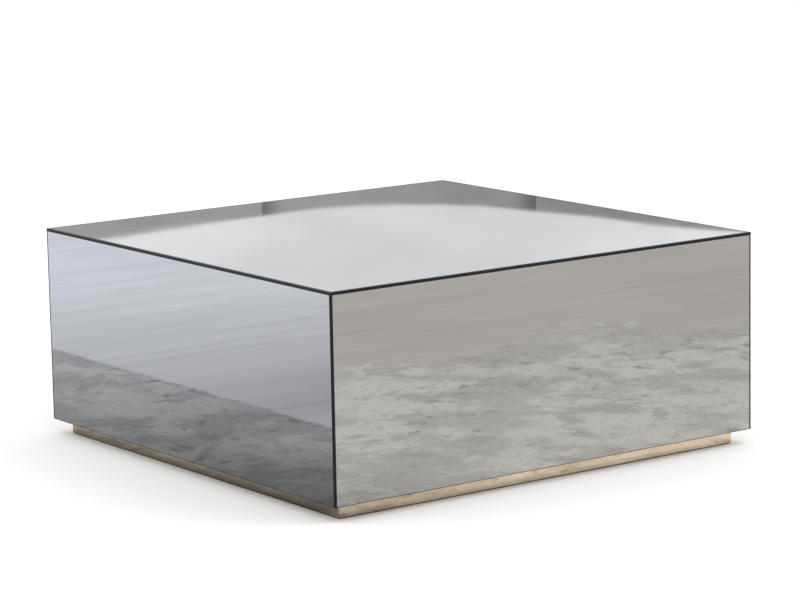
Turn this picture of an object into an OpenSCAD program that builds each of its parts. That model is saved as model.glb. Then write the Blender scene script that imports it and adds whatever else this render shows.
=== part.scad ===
// Mirrored block coffee table: a closed box of board clad in mirror glass on five sides,
// standing on a set-back plinth with a folded metal trim and four hidden levelling feet.
// The origin is on the floor under the middle of the table. +Z is up, -Y is the front and
// -X is the left. All sizes are in millimetres.

/* [Table] */
// Width and depth of the square top
table_w = 900; // [700:10:1100]
// Height of the top face above the floor
table_h = 380; // [300:5:480]

/* [Mirror] */
// Thickness of the mirror glass
glass_t = 4; // [3:1:6]
// Width of the ground strip on each pane where two side panes meet at a corner
corner_grind = 1; // [1:0.5:3]
// Small ground edge around every pane
arris = 0.5; // [0.2:0.1:0.8]
// Thickness of the sealant line between two panes
seam = 0.5; // [0.3:0.1:1]
// Thickness of the mastic strips that hold the panes
mastic_t = 2; // [1:0.5:4]

/* [Carcass] */
// Thickness of the carcass board
board_t = 18; // [16:1:25]
// Side of the square battens glued into the corners
batten = 25; // [15:1:40]

/* [Plinth] */
// Height of the bottom edge of the mirror panes above the floor
plinth_h = 27; // [26:1:40]
// How far the plinth stands back from the mirror face
plinth_setback = 25; // [15:1:60]
// Thickness of the metal trim
trim_t = 1; // [0.8:0.1:1.5]
// Outer bend radius of the metal trim
trim_bend = 2; // [2:0.5:4]
// Gap between the metal trim and the floor
trim_gap = 2; // [1:0.5:4]

/* [Levelling feet] */
// Distance that a foot can be wound down
foot_travel = 10; // [5:1:14]
// Diameter of the foot's pad
pad_d = 30; // [24:1:36]
// Diameter of the foot's threaded stem
stem_d = 8; // [6:1:8]

/* [Hidden] */
$fn = 48;
nothing = 0.01;

half_w = table_w / 2;
side_top = table_h - glass_t - seam;
carcass_half = half_w - glass_t - mastic_t;
carcass_top = table_h - glass_t - mastic_t;
pane_lip = 1;
carcass_z = plinth_h + pane_lip;
inner_half = carcass_half - board_t;
wall_top = carcass_top - board_t;
base_top = carcass_z + board_t;
rib_middle = (base_top + wall_top) / 2;

mastic_w = 20;
mastic_rows = 5;
mastic_margin = 40;

plinth_half = half_w - plinth_setback;
rail_half = plinth_half - trim_t;
block_w = 60;
block_z = 10;
foot_at = rail_half - board_t - block_w / 2;

screw_d = 5;
screw_head_d = 10;
screw_rim = 0.5;
screw_tip = 4;
socket_r = 2;
socket_depth = 2.5;
screw_clearance = 0.05;
long_screw = 50;
plinth_screw = 40;
block_screw = 30;
// Places of the screws along the carcass and along a plinth rail, as shares of its length
edge_shares = [-1 / 3, -1 / 9, 1 / 9, 1 / 3];
plinth_shares = [-2 / 5, -2 / 9, 2 / 9, 2 / 5];
// Heights of the screws in a corner and in the end of a rib, as shares of the wall height
corner_shares = [0.15, 0.5, 0.85];
rib_shares = [0.25, 0.75];
block_screw_offset = 20;

pad_z = 0.5;
pad_h = 7;
ball_r = 3.5;
ball_z = pad_z + 5;
socket_clearance = 0.1;
neck_r = 2.4;
nut_across_flats = 13;
nut_z = pad_z + 8;
nut_h = 4;
stop_gap = 0.3;
flange_z = nut_z + nut_h + stop_gap;
flange_d = 19;
flange_t = 1.5;
counterbore_d = 21;
barrel_d = stem_d + 3;
barrel_h = 11;
thread_clearance = 0.05;
stem_top = flange_z + flange_t + barrel_h + foot_travel;

FRONT = 0;
RIGHT = 1;
BACK = 2;
LEFT = 3;

// Turns what is drawn for the front side to another side. The corner at the left end of
// a side turns with it: FRONT is front left, RIGHT front right, BACK back right and LEFT
// back left.
module on_side(side) {
    rotate([0, 0, 90 * side]) children();
}

// A board or strip centred on x, from y0 to y1 and from z0 to z1.
module slab(width, y0, y1, z0, z1) {
    translate([-width / 2, y0, z0]) cube([width, y1 - y0, z1 - z0]);
}

// ---- Screws ----

// Outline of half a countersunk screw, head at z = 0 and tip down, grown sideways by grow
// and raised above the head by rise.
module screw_outline(length, grow, rise) {
    head_r = screw_head_d / 2 + grow;
    shank_r = screw_d / 2 + grow;
    polygon([
        [0, rise],
        [head_r, rise],
        [head_r, -screw_rim],
        [shank_r, -screw_rim - head_r + shank_r],
        [shank_r, screw_tip - length],
        [screw_rim + grow, -length],
        [0, -length]
    ]);
}

// Countersunk screw with a hexagon socket, pointing down from z = 0.
module screw(length) {
    difference() {
        rotate_extrude() screw_outline(length, 0, 0);
        translate([0, 0, -socket_depth])
            cylinder(r = socket_r, h = socket_depth + 1, $fn = 6);
    }
}

// The hole that a screw leaves in the boards that it joins.
module screw_hole(length) {
    rotate_extrude() screw_outline(length, screw_clearance, 1);
}

// Places on the front wall's outer face, with the screw pointing into the box.
module through_wall(x, z) {
    translate([x, -carcass_half, z]) rotate([90, 0, 0]) children();
}

function wall_height(share) = carcass_z + share * (wall_top - carcass_z);

// Front and back walls to the ends of the side walls.
module at_corner_screws() {
    for (side = [FRONT, BACK]) {
        for (end = [-1, 1]) {
            for (share = corner_shares) {
                on_side(side)
                    through_wall(end * (carcass_half - board_t / 2), wall_height(share))
                        children();
            }
        }
    }
}

// One wall to the end of the rib behind it.
module at_rib_screws(side) {
    for (share = rib_shares) {
        on_side(side) through_wall(0, wall_height(share)) children();
    }
}

// One wall to the edge of the base.
module at_base_screws(side) {
    for (share = edge_shares) {
        on_side(side)
            through_wall(2 * carcass_half * share, carcass_z + board_t / 2) children();
    }
}

// The top to the upper edge of one wall.
module at_top_screws(side) {
    for (share = edge_shares) {
        on_side(side)
            translate([2 * carcass_half * share, board_t / 2 - carcass_half, carcass_top])
                children();
    }
}

// The top to the upper edge of the rib that runs along x, or along y when turned.
module at_top_rib_screws(turn) {
    for (share = edge_shares) {
        rotate([0, 0, turn])
            translate([2 * carcass_half * share, 0, carcass_top]) children();
    }
}

// The base to one plinth rail, from inside the box.
module at_plinth_screws(side) {
    for (share = plinth_shares) {
        on_side(side)
            translate([2 * rail_half * share, board_t / 2 - rail_half, base_top])
                children();
    }
}

// The base to one foot block, from inside the box.
module at_block_screws(side) {
    for (shift = [-block_screw_offset, block_screw_offset]) {
        on_side(side)
            translate([shift - foot_at, -shift - foot_at, base_top]) children();
    }
}

module corner_screws() {
    color("silver") at_corner_screws() screw(long_screw);
}

module rib_screws() {
    color("silver")
        for (side = [FRONT, RIGHT, BACK, LEFT]) {
            at_rib_screws(side) screw(long_screw);
        }
}

module top_screws() {
    color("silver") {
        for (side = [FRONT, RIGHT, BACK, LEFT]) {
            at_top_screws(side) screw(long_screw);
        }
        for (turn = [0, 90]) {
            at_top_rib_screws(turn) screw(long_screw);
        }
    }
}

module base_screws() {
    color("silver")
        for (side = [FRONT, RIGHT, BACK, LEFT]) {
            at_base_screws(side) screw(long_screw);
        }
}

module plinth_screws() {
    color("silver")
        for (side = [FRONT, RIGHT, BACK, LEFT]) {
            at_plinth_screws(side) screw(plinth_screw);
        }
}

module block_screws() {
    color("silver")
        for (side = [FRONT, RIGHT, BACK, LEFT]) {
            at_block_screws(side) screw(block_screw);
        }
}

// ---- Mirror panes and what holds them ----

// Side view of a pane's edge: a thickness t between z0 and z1 with its outer arrises ground.
module ground_edge(t, z0, z1) {
    polygon([
        [arris, z0],
        [t, z0],
        [t, z1],
        [arris, z1],
        [0, z1 - arris],
        [0, z0 + arris]
    ]);
}

// Plan of a side pane. Its ends are mitred with half a seam to spare, and the sharp outer
// corner is ground away square to the mitre.
module side_pane_plan() {
    seam_shift = seam / sqrt(2);
    grind_x = half_w - corner_grind / 2 - seam_shift / 2;
    grind_y = half_w - corner_grind / 2 + seam_shift / 2;
    inner_x = half_w - glass_t - seam_shift;
    polygon([
        [corner_grind - half_w, -half_w],
        [half_w - corner_grind, -half_w],
        [grind_x, -grind_y],
        [inner_x, glass_t - half_w],
        [-inner_x, glass_t - half_w],
        [-grind_x, -grind_y]
    ]);
}

module side_mirror(side) {
    color([0.78, 0.80, 0.82])
        on_side(side)
            intersection() {
                translate([0, 0, plinth_h])
                    linear_extrude(side_top - plinth_h) side_pane_plan();
                translate([-half_w, -half_w, 0])
                    rotate([90, 0, 90])
                        linear_extrude(table_w) ground_edge(glass_t, plinth_h, side_top);
            }
}

// Plate between two heights with every upper and lower edge ground, seen from one side.
module ground_plate_side(z0, z1) {
    rotate([90, 0, 0])
        translate([0, 0, -half_w])
            linear_extrude(table_w)
                polygon([
                    [arris - half_w, z0],
                    [half_w - arris, z0],
                    [half_w, z0 + arris],
                    [half_w, z1 - arris],
                    [half_w - arris, z1],
                    [arris - half_w, z1],
                    [-half_w, z1 - arris],
                    [-half_w, z0 + arris]
                ]);
}

module top_mirror() {
    color([0.80, 0.82, 0.84])
        intersection() {
            ground_plate_side(table_h - glass_t, table_h);
            rotate([0, 0, 90]) ground_plate_side(table_h - glass_t, table_h);
        }
}

// Sealant line under the rim of the top pane.
module top_seam() {
    color("dimgray")
        translate([0, 0, side_top])
            linear_extrude(seam)
                difference() {
                    square(table_w - 2 * arris, center = true);
                    square(table_w - 2 * glass_t, center = true);
                }
}

// Sealant line in the mitre at the left end of a side.
module corner_seam(side) {
    seam_length = sqrt(2) * (glass_t - corner_grind / 2);
    color("dimgray")
        on_side(side)
            translate([glass_t - half_w, glass_t - half_w, plinth_h])
                rotate([0, 0, 45])
                    translate([-seam_length, -seam / 2, 0])
                        cube([seam_length, seam, side_top - plinth_h]);
}

// Upright mastic strips between a wall and its pane.
module side_mastic(side) {
    spacing = 2 * (carcass_half - mastic_margin) / (mastic_rows - 1);
    color("gray")
        on_side(side)
            for (i = [0 : mastic_rows - 1]) {
                translate([i * spacing + mastic_margin - carcass_half, 0, 0])
                    slab(mastic_w, -carcass_half - mastic_t, -carcass_half,
                         carcass_z + mastic_margin, carcass_top - mastic_margin);
            }
}

module top_mastic() {
    spacing = 2 * (carcass_half - mastic_margin) / (mastic_rows - 1);
    reach = carcass_half - mastic_margin;
    color("gray")
        for (i = [0 : mastic_rows - 1]) {
            translate([i * spacing - reach, 0, 0])
                slab(mastic_w, -reach, reach, carcass_top, carcass_top + mastic_t);
        }
}

// ---- Carcass ----

// Front and back walls run the full width. Left and right walls fit between them.
module wall(side) {
    width = side == FRONT || side == BACK ? 2 * carcass_half : 2 * inner_half;
    color("tan")
        difference() {
            on_side(side) slab(width, -carcass_half, -inner_half, carcass_z, wall_top);
            at_corner_screws() screw_hole(long_screw);
            at_rib_screws(side) screw_hole(long_screw);
            at_base_screws(side) screw_hole(long_screw);
            at_top_screws(side) screw_hole(long_screw);
        }
}

module top_panel() {
    color("tan")
        difference() {
            slab(2 * carcass_half, -carcass_half, carcass_half, wall_top, carcass_top);
            for (side = [FRONT, RIGHT, BACK, LEFT]) {
                at_top_screws(side) screw_hole(long_screw);
            }
            for (turn = [0, 90]) {
                at_top_rib_screws(turn) screw_hole(long_screw);
            }
        }
}

module base_panel() {
    color("tan")
        difference() {
            slab(2 * inner_half, -inner_half, inner_half, carcass_z, base_top);
            for (side = [FRONT, RIGHT, BACK, LEFT]) {
                at_base_screws(side) screw_hole(long_screw);
                at_plinth_screws(side) screw_hole(plinth_screw);
                at_block_screws(side) screw_hole(block_screw);
                on_side(side)
                    translate([-foot_at, -foot_at, carcass_z - 1])
                        cylinder(d = stem_d + 2, h = board_t + 2);
            }
        }
}

// The two ribs stand on edge under the top and cross in a halving joint. The one that runs
// left to right is slotted from above, and the other from below.
module rib(turn) {
    slot_clearance = 0.1;
    slot_low = turn == 0 ? rib_middle : base_top - 1;
    slot_high = turn == 0 ? wall_top + 1 : rib_middle;
    color("burlywood")
        rotate([0, 0, turn])
            difference() {
                slab(2 * inner_half, -board_t / 2, board_t / 2, base_top, wall_top);
                slab(board_t + 2 * slot_clearance, -board_t, board_t, slot_low, slot_high);
                at_rib_screws(LEFT) screw_hole(long_screw);
                at_rib_screws(RIGHT) screw_hole(long_screw);
                at_top_rib_screws(0) screw_hole(long_screw);
            }
}

module corner_batten(side) {
    color("wheat")
        on_side(side)
            translate([-inner_half, -inner_half, base_top])
                cube([batten, batten, wall_top - base_top]);
}

// ---- Plinth ----

// Square block with upright corners eased to the inside of the trim's bend.
module eased_block(z0, z1) {
    r = trim_bend - trim_t + nothing;
    translate([0, 0, z0])
        linear_extrude(z1 - z0) {
            square([2 * rail_half, 2 * (rail_half - r)], center = true);
            square([2 * (rail_half - r), 2 * rail_half], center = true);
            for (x = [r - rail_half, rail_half - r]) {
                for (y = [r - rail_half, rail_half - r]) {
                    translate([x, y]) circle(r);
                }
            }
        }
}

// Front and back rails run the full width. Left and right rails fit between them.
module plinth_rail(side) {
    width = side == FRONT || side == BACK ? 2 * rail_half : 2 * (rail_half - board_t);
    color([0.16, 0.15, 0.14])
        difference() {
            intersection() {
                eased_block(0, carcass_z);
                on_side(side) slab(width, -rail_half, board_t - rail_half, 0, carcass_z);
            }
            at_plinth_screws(side) screw_hole(plinth_screw);
        }
}

// Metal strip folded around the corner at the left end of a side. Its long leg covers that
// whole side, and its short leg stops behind the next strip.
module plinth_trim(side) {
    color([0.80, 0.70, 0.52])
        on_side(side)
            translate([-plinth_half, -plinth_half, trim_gap])
                linear_extrude(carcass_z - trim_gap) {
                    translate([trim_bend, 0])
                        square([2 * plinth_half - trim_bend, trim_t]);
                    translate([0, trim_bend])
                        square([trim_t, 2 * plinth_half - trim_bend - trim_t]);
                    intersection() {
                        square(trim_bend);
                        translate([trim_bend, trim_bend])
                            difference() {
                                circle(trim_bend);
                                circle(trim_bend - trim_t);
                            }
                    }
                }
}

// ---- Levelling feet ----

// Puts a foot's part in the corner at the left end of a side.
module at_foot(side) {
    on_side(side) translate([-foot_at, -foot_at, 0]) children();
}

module foot_block(side) {
    color("peru")
        difference() {
            at_foot(side)
                difference() {
                    slab(block_w, -block_w / 2, block_w / 2, block_z, carcass_z);
                    translate([0, 0, block_z - 1])
                        cylinder(d = barrel_d + 2 * thread_clearance,
                                 h = carcass_z - block_z + 2);
                    translate([0, 0, block_z - 1])
                        cylinder(d = counterbore_d, h = flange_z + flange_t - block_z + 1);
                }
            at_block_screws(side) screw_hole(block_screw);
        }
}

// Flanged nut pressed into the block from below.
module foot_insert(side) {
    color("silver")
        at_foot(side)
            difference() {
                union() {
                    translate([0, 0, flange_z]) cylinder(d = flange_d, h = flange_t);
                    translate([0, 0, flange_z]) cylinder(d = barrel_d, h = flange_t + barrel_h);
                }
                translate([0, 0, flange_z - 1])
                    cylinder(d = stem_d + 2 * thread_clearance, h = flange_t + barrel_h + 2);
            }
}

// Stem with a ball below, a hexagon to turn it by, and the thread above.
module foot_stem(side) {
    chamfer = 1;
    color("silver")
        at_foot(side) {
            translate([0, 0, ball_z]) sphere(ball_r);
            translate([0, 0, ball_z]) cylinder(r = neck_r, h = nut_z - ball_z + nothing);
            translate([0, 0, nut_z])
                cylinder(d = nut_across_flats / cos(30), h = nut_h, $fn = 6);
            translate([0, 0, nut_z]) cylinder(d = stem_d, h = stem_top - chamfer - nut_z);
            translate([0, 0, stem_top - chamfer])
                cylinder(d1 = stem_d, d2 = stem_d - 2 * chamfer, h = chamfer);
        }
}

// Plastic pad with a socket that the ball snaps into.
module foot_pad(side) {
    edge = 1;
    color("dimgray")
        at_foot(side)
            difference() {
                rotate_extrude()
                    polygon([
                        [0, pad_z],
                        [pad_d / 2 - edge, pad_z],
                        [pad_d / 2, pad_z + edge],
                        [pad_d / 2, pad_z + pad_h / 2],
                        [pad_d / 4, pad_z + pad_h],
                        [0, pad_z + pad_h]
                    ]);
                translate([0, 0, ball_z]) sphere(ball_r + socket_clearance);
            }
}

top_mirror();
side_mirror(FRONT);  // front_mirror
side_mirror(RIGHT);  // right_mirror
side_mirror(BACK);  // back_mirror
side_mirror(LEFT);  // left_mirror
top_seam();
corner_seam(FRONT);  // corner_seam_front_left
corner_seam(RIGHT);  // corner_seam_front_right
corner_seam(BACK);  // corner_seam_back_right
corner_seam(LEFT);  // corner_seam_back_left
top_mastic();
side_mastic(FRONT);  // front_mastic
side_mastic(RIGHT);  // right_mastic
side_mastic(BACK);  // back_mastic
side_mastic(LEFT);  // left_mastic
top_panel();
wall(FRONT);  // front_panel
wall(RIGHT);  // right_panel
wall(BACK);  // back_panel
wall(LEFT);  // left_panel
base_panel();
rib(0);  // rib_left_right
rib(90);  // rib_front_back
corner_batten(FRONT);  // batten_front_left
corner_batten(RIGHT);  // batten_front_right
corner_batten(BACK);  // batten_back_right
corner_batten(LEFT);  // batten_back_left
corner_screws();
rib_screws();
top_screws();
base_screws();
plinth_rail(FRONT);  // plinth_rail_front
plinth_rail(RIGHT);  // plinth_rail_right
plinth_rail(BACK);  // plinth_rail_back
plinth_rail(LEFT);  // plinth_rail_left
plinth_trim(FRONT);  // plinth_trim_front_left
plinth_trim(BACK);  // plinth_trim_back_right
plinth_screws();
foot_block(FRONT);  // foot_block_front_left
foot_block(RIGHT);  // foot_block_front_right
foot_block(BACK);  // foot_block_back_right
foot_block(LEFT);  // foot_block_back_left
block_screws();
foot_insert(FRONT);  // foot_insert_front_left
foot_insert(RIGHT);  // foot_insert_front_right
foot_insert(BACK);  // foot_insert_back_right
foot_insert(LEFT);  // foot_insert_back_left
foot_stem(FRONT);  // foot_stem_front_left
foot_stem(RIGHT);  // foot_stem_front_right
foot_stem(BACK);  // foot_stem_back_right
foot_stem(LEFT);  // foot_stem_back_left
foot_pad(FRONT);  // foot_pad_front_left
foot_pad(RIGHT);  // foot_pad_front_right
foot_pad(BACK);  // foot_pad_back_right
foot_pad(LEFT);  // foot_pad_back_left
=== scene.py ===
"""Mirrored block coffee table: materials, finer pieces, floor, light and camera.

All sizes are in metres. Places and sizes come from the CAD frame. The numbers below are only
for what is finer than the frame, such as thread forms, beads and grain, and for the studio.
"""

import math

import bmesh
import bpy
from mathutils import Matrix, Vector


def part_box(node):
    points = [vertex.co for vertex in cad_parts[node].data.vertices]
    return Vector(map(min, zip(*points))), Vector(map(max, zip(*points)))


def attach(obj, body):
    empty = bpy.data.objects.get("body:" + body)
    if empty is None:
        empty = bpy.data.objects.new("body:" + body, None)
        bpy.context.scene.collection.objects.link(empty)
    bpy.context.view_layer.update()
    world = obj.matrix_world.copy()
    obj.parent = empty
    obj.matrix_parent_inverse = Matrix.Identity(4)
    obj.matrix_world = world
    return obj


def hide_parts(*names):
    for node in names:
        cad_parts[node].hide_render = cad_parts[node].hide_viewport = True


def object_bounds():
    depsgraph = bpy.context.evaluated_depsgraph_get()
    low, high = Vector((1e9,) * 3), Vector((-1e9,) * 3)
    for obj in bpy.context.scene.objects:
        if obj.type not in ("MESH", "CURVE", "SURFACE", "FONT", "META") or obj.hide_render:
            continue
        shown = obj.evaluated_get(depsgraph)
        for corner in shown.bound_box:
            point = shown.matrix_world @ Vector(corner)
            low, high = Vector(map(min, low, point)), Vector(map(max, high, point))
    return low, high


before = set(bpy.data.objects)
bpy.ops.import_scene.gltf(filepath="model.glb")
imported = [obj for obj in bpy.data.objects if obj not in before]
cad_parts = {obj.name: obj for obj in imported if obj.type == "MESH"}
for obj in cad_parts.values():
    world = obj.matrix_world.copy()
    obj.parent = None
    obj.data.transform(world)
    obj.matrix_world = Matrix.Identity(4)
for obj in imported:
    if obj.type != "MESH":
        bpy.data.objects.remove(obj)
cad_low, cad_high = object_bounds()

SIDES = {
    "front": Vector((0, -1, 0)),
    "right": Vector((1, 0, 0)),
    "back": Vector((0, 1, 0)),
    "left": Vector((-1, 0, 0)),
}
CORNERS = {
    "front_left": (-1, -1),
    "front_right": (1, -1),
    "back_right": (1, 1),
    "back_left": (-1, 1),
}
UP = Vector((0, 0, 1))
MM = 0.001


# ---- Materials: tools ----


class Paint:
    """A material being made. Most of its methods add a node and return its output."""

    def __init__(self, name, settings=None):
        self.material = bpy.data.materials.new(name)
        self.material.use_nodes = True
        self.tree = self.material.node_tree
        self.surface = self.tree.nodes["Principled BSDF"]
        self.spot = self.add("ShaderNodeTexCoord").outputs["Object"]
        for socket, value in (settings or {}).items():
            self.surface.inputs[socket].default_value = value

    def plug(self, socket, value):
        """Links another node's output to a socket, or sets the socket to a plain value."""
        if isinstance(value, bpy.types.NodeSocket):
            self.tree.links.new(value, socket)
        else:
            socket.default_value = value

    def add(self, kind, inputs=None, **settings):
        """A new node, with its inputs plugged in by socket and its settings by name."""
        node = self.tree.nodes.new(kind)
        for name, value in settings.items():
            setattr(node, name, value)
        for socket, value in (inputs or {}).items():
            self.plug(node.inputs[socket], value)
        return node

    def stretched(self, stretch):
        """The place on the object, with each axis multiplied."""
        node = self.add("ShaderNodeVectorMath", {0: self.spot, 1: stretch}, operation="MULTIPLY")
        return node.outputs[0]

    def noise(self, scale, detail=2.0, rough=0.5, warp=0.0, stretch=(1, 1, 1)):
        """Cloudy number around a half."""
        inputs = {
            "Vector": self.stretched(stretch),
            "Scale": scale,
            "Detail": detail,
            "Roughness": rough,
            "Distortion": warp,
        }
        return self.add("ShaderNodeTexNoise", inputs).outputs[0]

    def flecks(self, scale):
        """Distance to the middle of the nearest of many small cells."""
        inputs = {"Vector": self.spot, "Scale": scale}
        return self.add("ShaderNodeTexVoronoi", inputs).outputs["Distance"]

    def rings(self, scale, warp, stretch):
        """Wavy growth rings round the x axis."""
        inputs = {
            "Vector": self.stretched(stretch),
            "Scale": scale,
            "Distortion": warp,
            "Detail": 3.0,
            "Detail Scale": 1.2,
        }
        node = self.add("ShaderNodeTexWave", inputs, wave_type="RINGS", rings_direction="X")
        return node.outputs["Fac"]

    def span(self, share, low, high, start=0.0, end=1.0):
        """A number that goes smoothly from low to high as share goes from start to end."""
        inputs = {
            "Value": share,
            "From Min": start,
            "From Max": end,
            "To Min": low,
            "To Max": high,
        }
        node = self.add("ShaderNodeMapRange", inputs, interpolation_type="SMOOTHSTEP")
        return node.outputs[0]

    def mix(self, share, first, second):
        """Colour between first and second."""
        node = self.add("ShaderNodeMix", data_type="RGBA")
        self.plug(node.inputs["Factor"], share)
        self.plug(node.inputs[6], first)
        self.plug(node.inputs[7], second)
        return node.outputs[2]

    def tinted(self, colour, tint):
        """The colour with its red, green and blue multiplied."""
        node = self.add("ShaderNodeVectorMath", {0: colour, 1: tint}, operation="MULTIPLY")
        return node.outputs[0]

    def between(self, share, first, second):
        """Number between first and second."""
        return self.add("ShaderNodeMix", {0: share, 2: first, 3: second}).outputs[0]

    def maths(self, operation, first, second=0.0):
        """Result of a Math node. Some operations have no second number."""
        node = self.add("ShaderNodeMath", {0: first, 1: second}, operation=operation)
        return node.outputs[0]

    def distance(self, place):
        """Distance to a fixed place."""
        node = self.add("ShaderNodeVectorMath", {0: self.spot, 1: place}, operation="DISTANCE")
        return node.outputs["Value"]

    def colour(self, value):
        self.plug(self.surface.inputs["Base Color"], value)

    def roughness(self, value):
        self.plug(self.surface.inputs["Roughness"], value)

    def show(self, shader):
        """Makes a shader node the look of the material, in place of its plain surface."""
        output = self.tree.nodes["Material Output"]
        self.plug(output.inputs["Surface"], shader.outputs[0])

    def bump(self, *layers):
        """Adds bump from (height, depth) layers."""
        normal = None
        for height, depth in layers:
            inputs = {"Height": height, "Distance": depth, "Strength": 1.0}
            if normal is not None:
                inputs["Normal"] = normal
            normal = self.add("ShaderNodeBump", inputs).outputs[0]
        self.plug(self.surface.inputs["Normal"], normal)


def rgb(red, green, blue):
    """Opaque colour."""
    return (red, green, blue, 1.0)


# ---- Materials ----


def mirror_face():
    """Silvered face of the panes: faint wiping smears and the long waves of float glass."""
    paint = Paint("mirror_face", {"Metallic": 1.0, "Coat Weight": 0.2, "Coat Roughness": 0.02})
    smears = paint.noise(2.3, detail=6.0, rough=0.62, warp=1.4, stretch=(1, 1, 2.2))
    specks = paint.noise(700.0, detail=1.0)
    paint.colour(paint.mix(smears, rgb(0.875, 0.89, 0.895), rgb(0.915, 0.925, 0.93)))
    dull = paint.span(smears, 0.012, 0.032, 0.35, 0.75)
    paint.roughness(paint.maths("ADD", dull, paint.span(specks, 0.0, 0.02, 0.62, 0.8)))
    paint.bump((paint.noise(2.6, detail=1.0), 0.05 * MM))
    return paint.material


def bare_margin():
    """Clear margin of a pane's face, where the dark joint shows through the glass."""
    paint = Paint("bare_margin", {"Specular IOR Level": 0.12})
    drift = paint.noise(40.0, detail=4.0)
    paint.colour(paint.mix(drift, rgb(0.008, 0.007, 0.009), rgb(0.024, 0.022, 0.025)))
    paint.roughness(paint.span(drift, 0.1, 0.2, 0.3, 0.7))
    paint.bump((drift, 0.01 * MM))
    return paint.material


def glass_edge():
    """Ground and polished edge of a pane, dark because the silvering is behind it."""
    paint = Paint("glass_edge", {"Specular IOR Level": 0.3})
    wheel_marks = paint.noise(1.0, detail=3.0, stretch=(900, 900, 900))
    drift = paint.noise(9.0, detail=3.0)
    paint.colour(paint.mix(drift, rgb(0.008, 0.007, 0.009), rgb(0.020, 0.018, 0.020)))
    paint.roughness(paint.span(wheel_marks, 0.16, 0.34, 0.3, 0.7))
    paint.bump((wheel_marks, 0.02 * MM))
    return paint.material


def backing_paint():
    """Grey paint that protects the silvering on the back of the panes."""
    paint = Paint("backing_paint")
    peel = paint.noise(420.0, detail=2.0)
    drift = paint.noise(3.0, detail=4.0)
    paint.colour(paint.mix(drift, rgb(0.2, 0.215, 0.225), rgb(0.27, 0.285, 0.295)))
    paint.roughness(paint.span(peel, 0.38, 0.52, 0.3, 0.7))
    paint.bump((peel, 0.04 * MM))
    return paint.material


def sealant():
    """Black silicone, slightly wavy where a finger smoothed it."""
    paint = Paint("sealant", {"Specular IOR Level": 0.35})
    drag = paint.noise(60.0, detail=3.0, stretch=(1, 1, 0.35))
    paint.colour(paint.mix(drag, rgb(0.004, 0.004, 0.005), rgb(0.013, 0.013, 0.014)))
    paint.roughness(paint.span(drag, 0.3, 0.5, 0.3, 0.7))
    paint.bump((drag, 0.08 * MM))
    return paint.material


def mastic():
    """Pale grey mirror mastic squeezed flat between board and glass."""
    paint = Paint("mastic")
    lumps = paint.noise(110.0, detail=4.0)
    paint.colour(paint.mix(lumps, rgb(0.36, 0.36, 0.34), rgb(0.5, 0.5, 0.47)))
    paint.roughness(paint.span(lumps, 0.55, 0.75, 0.3, 0.7))
    paint.bump((lumps, 0.25 * MM))
    return paint.material


def fibre_board():
    """Raw medium density fibreboard: felted fibres with darker bundles."""
    paint = Paint("fibre_board")
    fibres = paint.noise(520.0, detail=6.0, rough=0.7, warp=0.6)
    bundles = paint.noise(170.0, detail=3.0, warp=1.2, stretch=(1, 1, 2.5))
    drift = paint.noise(4.0, detail=3.0)
    base = paint.mix(drift, rgb(0.35, 0.235, 0.135), rgb(0.43, 0.3, 0.18))
    light = paint.mix(paint.span(fibres, 0.0, 0.55, 0.35, 0.7), base, rgb(0.58, 0.44, 0.29))
    bundled = paint.span(bundles, 0.0, 0.6, 0.6, 0.75)
    paint.colour(paint.mix(bundled, light, rgb(0.2, 0.125, 0.07)))
    paint.roughness(paint.span(fibres, 0.72, 0.88, 0.3, 0.7))
    paint.bump((fibres, 0.12 * MM), (bundles, 0.05 * MM))
    return paint.material


def grained_wood(name, ring_scale, pale, dark, along):
    """Planed wood with its grain along one axis, 0, 1 or 2."""
    paint = Paint(name)
    ring_stretch = [1.0, 1.0, 1.0]
    ring_stretch[along] = 0.05
    pore_stretch = [420.0, 420.0, 420.0]
    pore_stretch[along] = 12.0
    growth = paint.rings(ring_scale, 5.0, ring_stretch)
    pore = paint.noise(1.0, detail=4.0, rough=0.65, stretch=pore_stretch)
    grain = paint.mix(paint.span(growth, 0.0, 1.0, 0.25, 0.85), pale, dark)
    paint.colour(paint.mix(paint.span(pore, 0.0, 0.5, 0.55, 0.8), grain, dark))
    paint.roughness(paint.span(pore, 0.5, 0.7, 0.3, 0.7))
    paint.bump((pore, 0.12 * MM), (growth, 0.06 * MM))
    return paint.material


def black_board():
    """Plinth board rolled with black paint."""
    paint = Paint("black_board")
    stipple = paint.noise(330.0, detail=3.0)
    scuffs = paint.noise(14.0, detail=6.0, rough=0.7)
    paint.colour(paint.mix(scuffs, rgb(0.011, 0.010, 0.009), rgb(0.032, 0.029, 0.026)))
    paint.roughness(paint.span(stipple, 0.45, 0.68, 0.3, 0.7))
    paint.bump((stipple, 0.1 * MM))
    return paint.material


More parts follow.
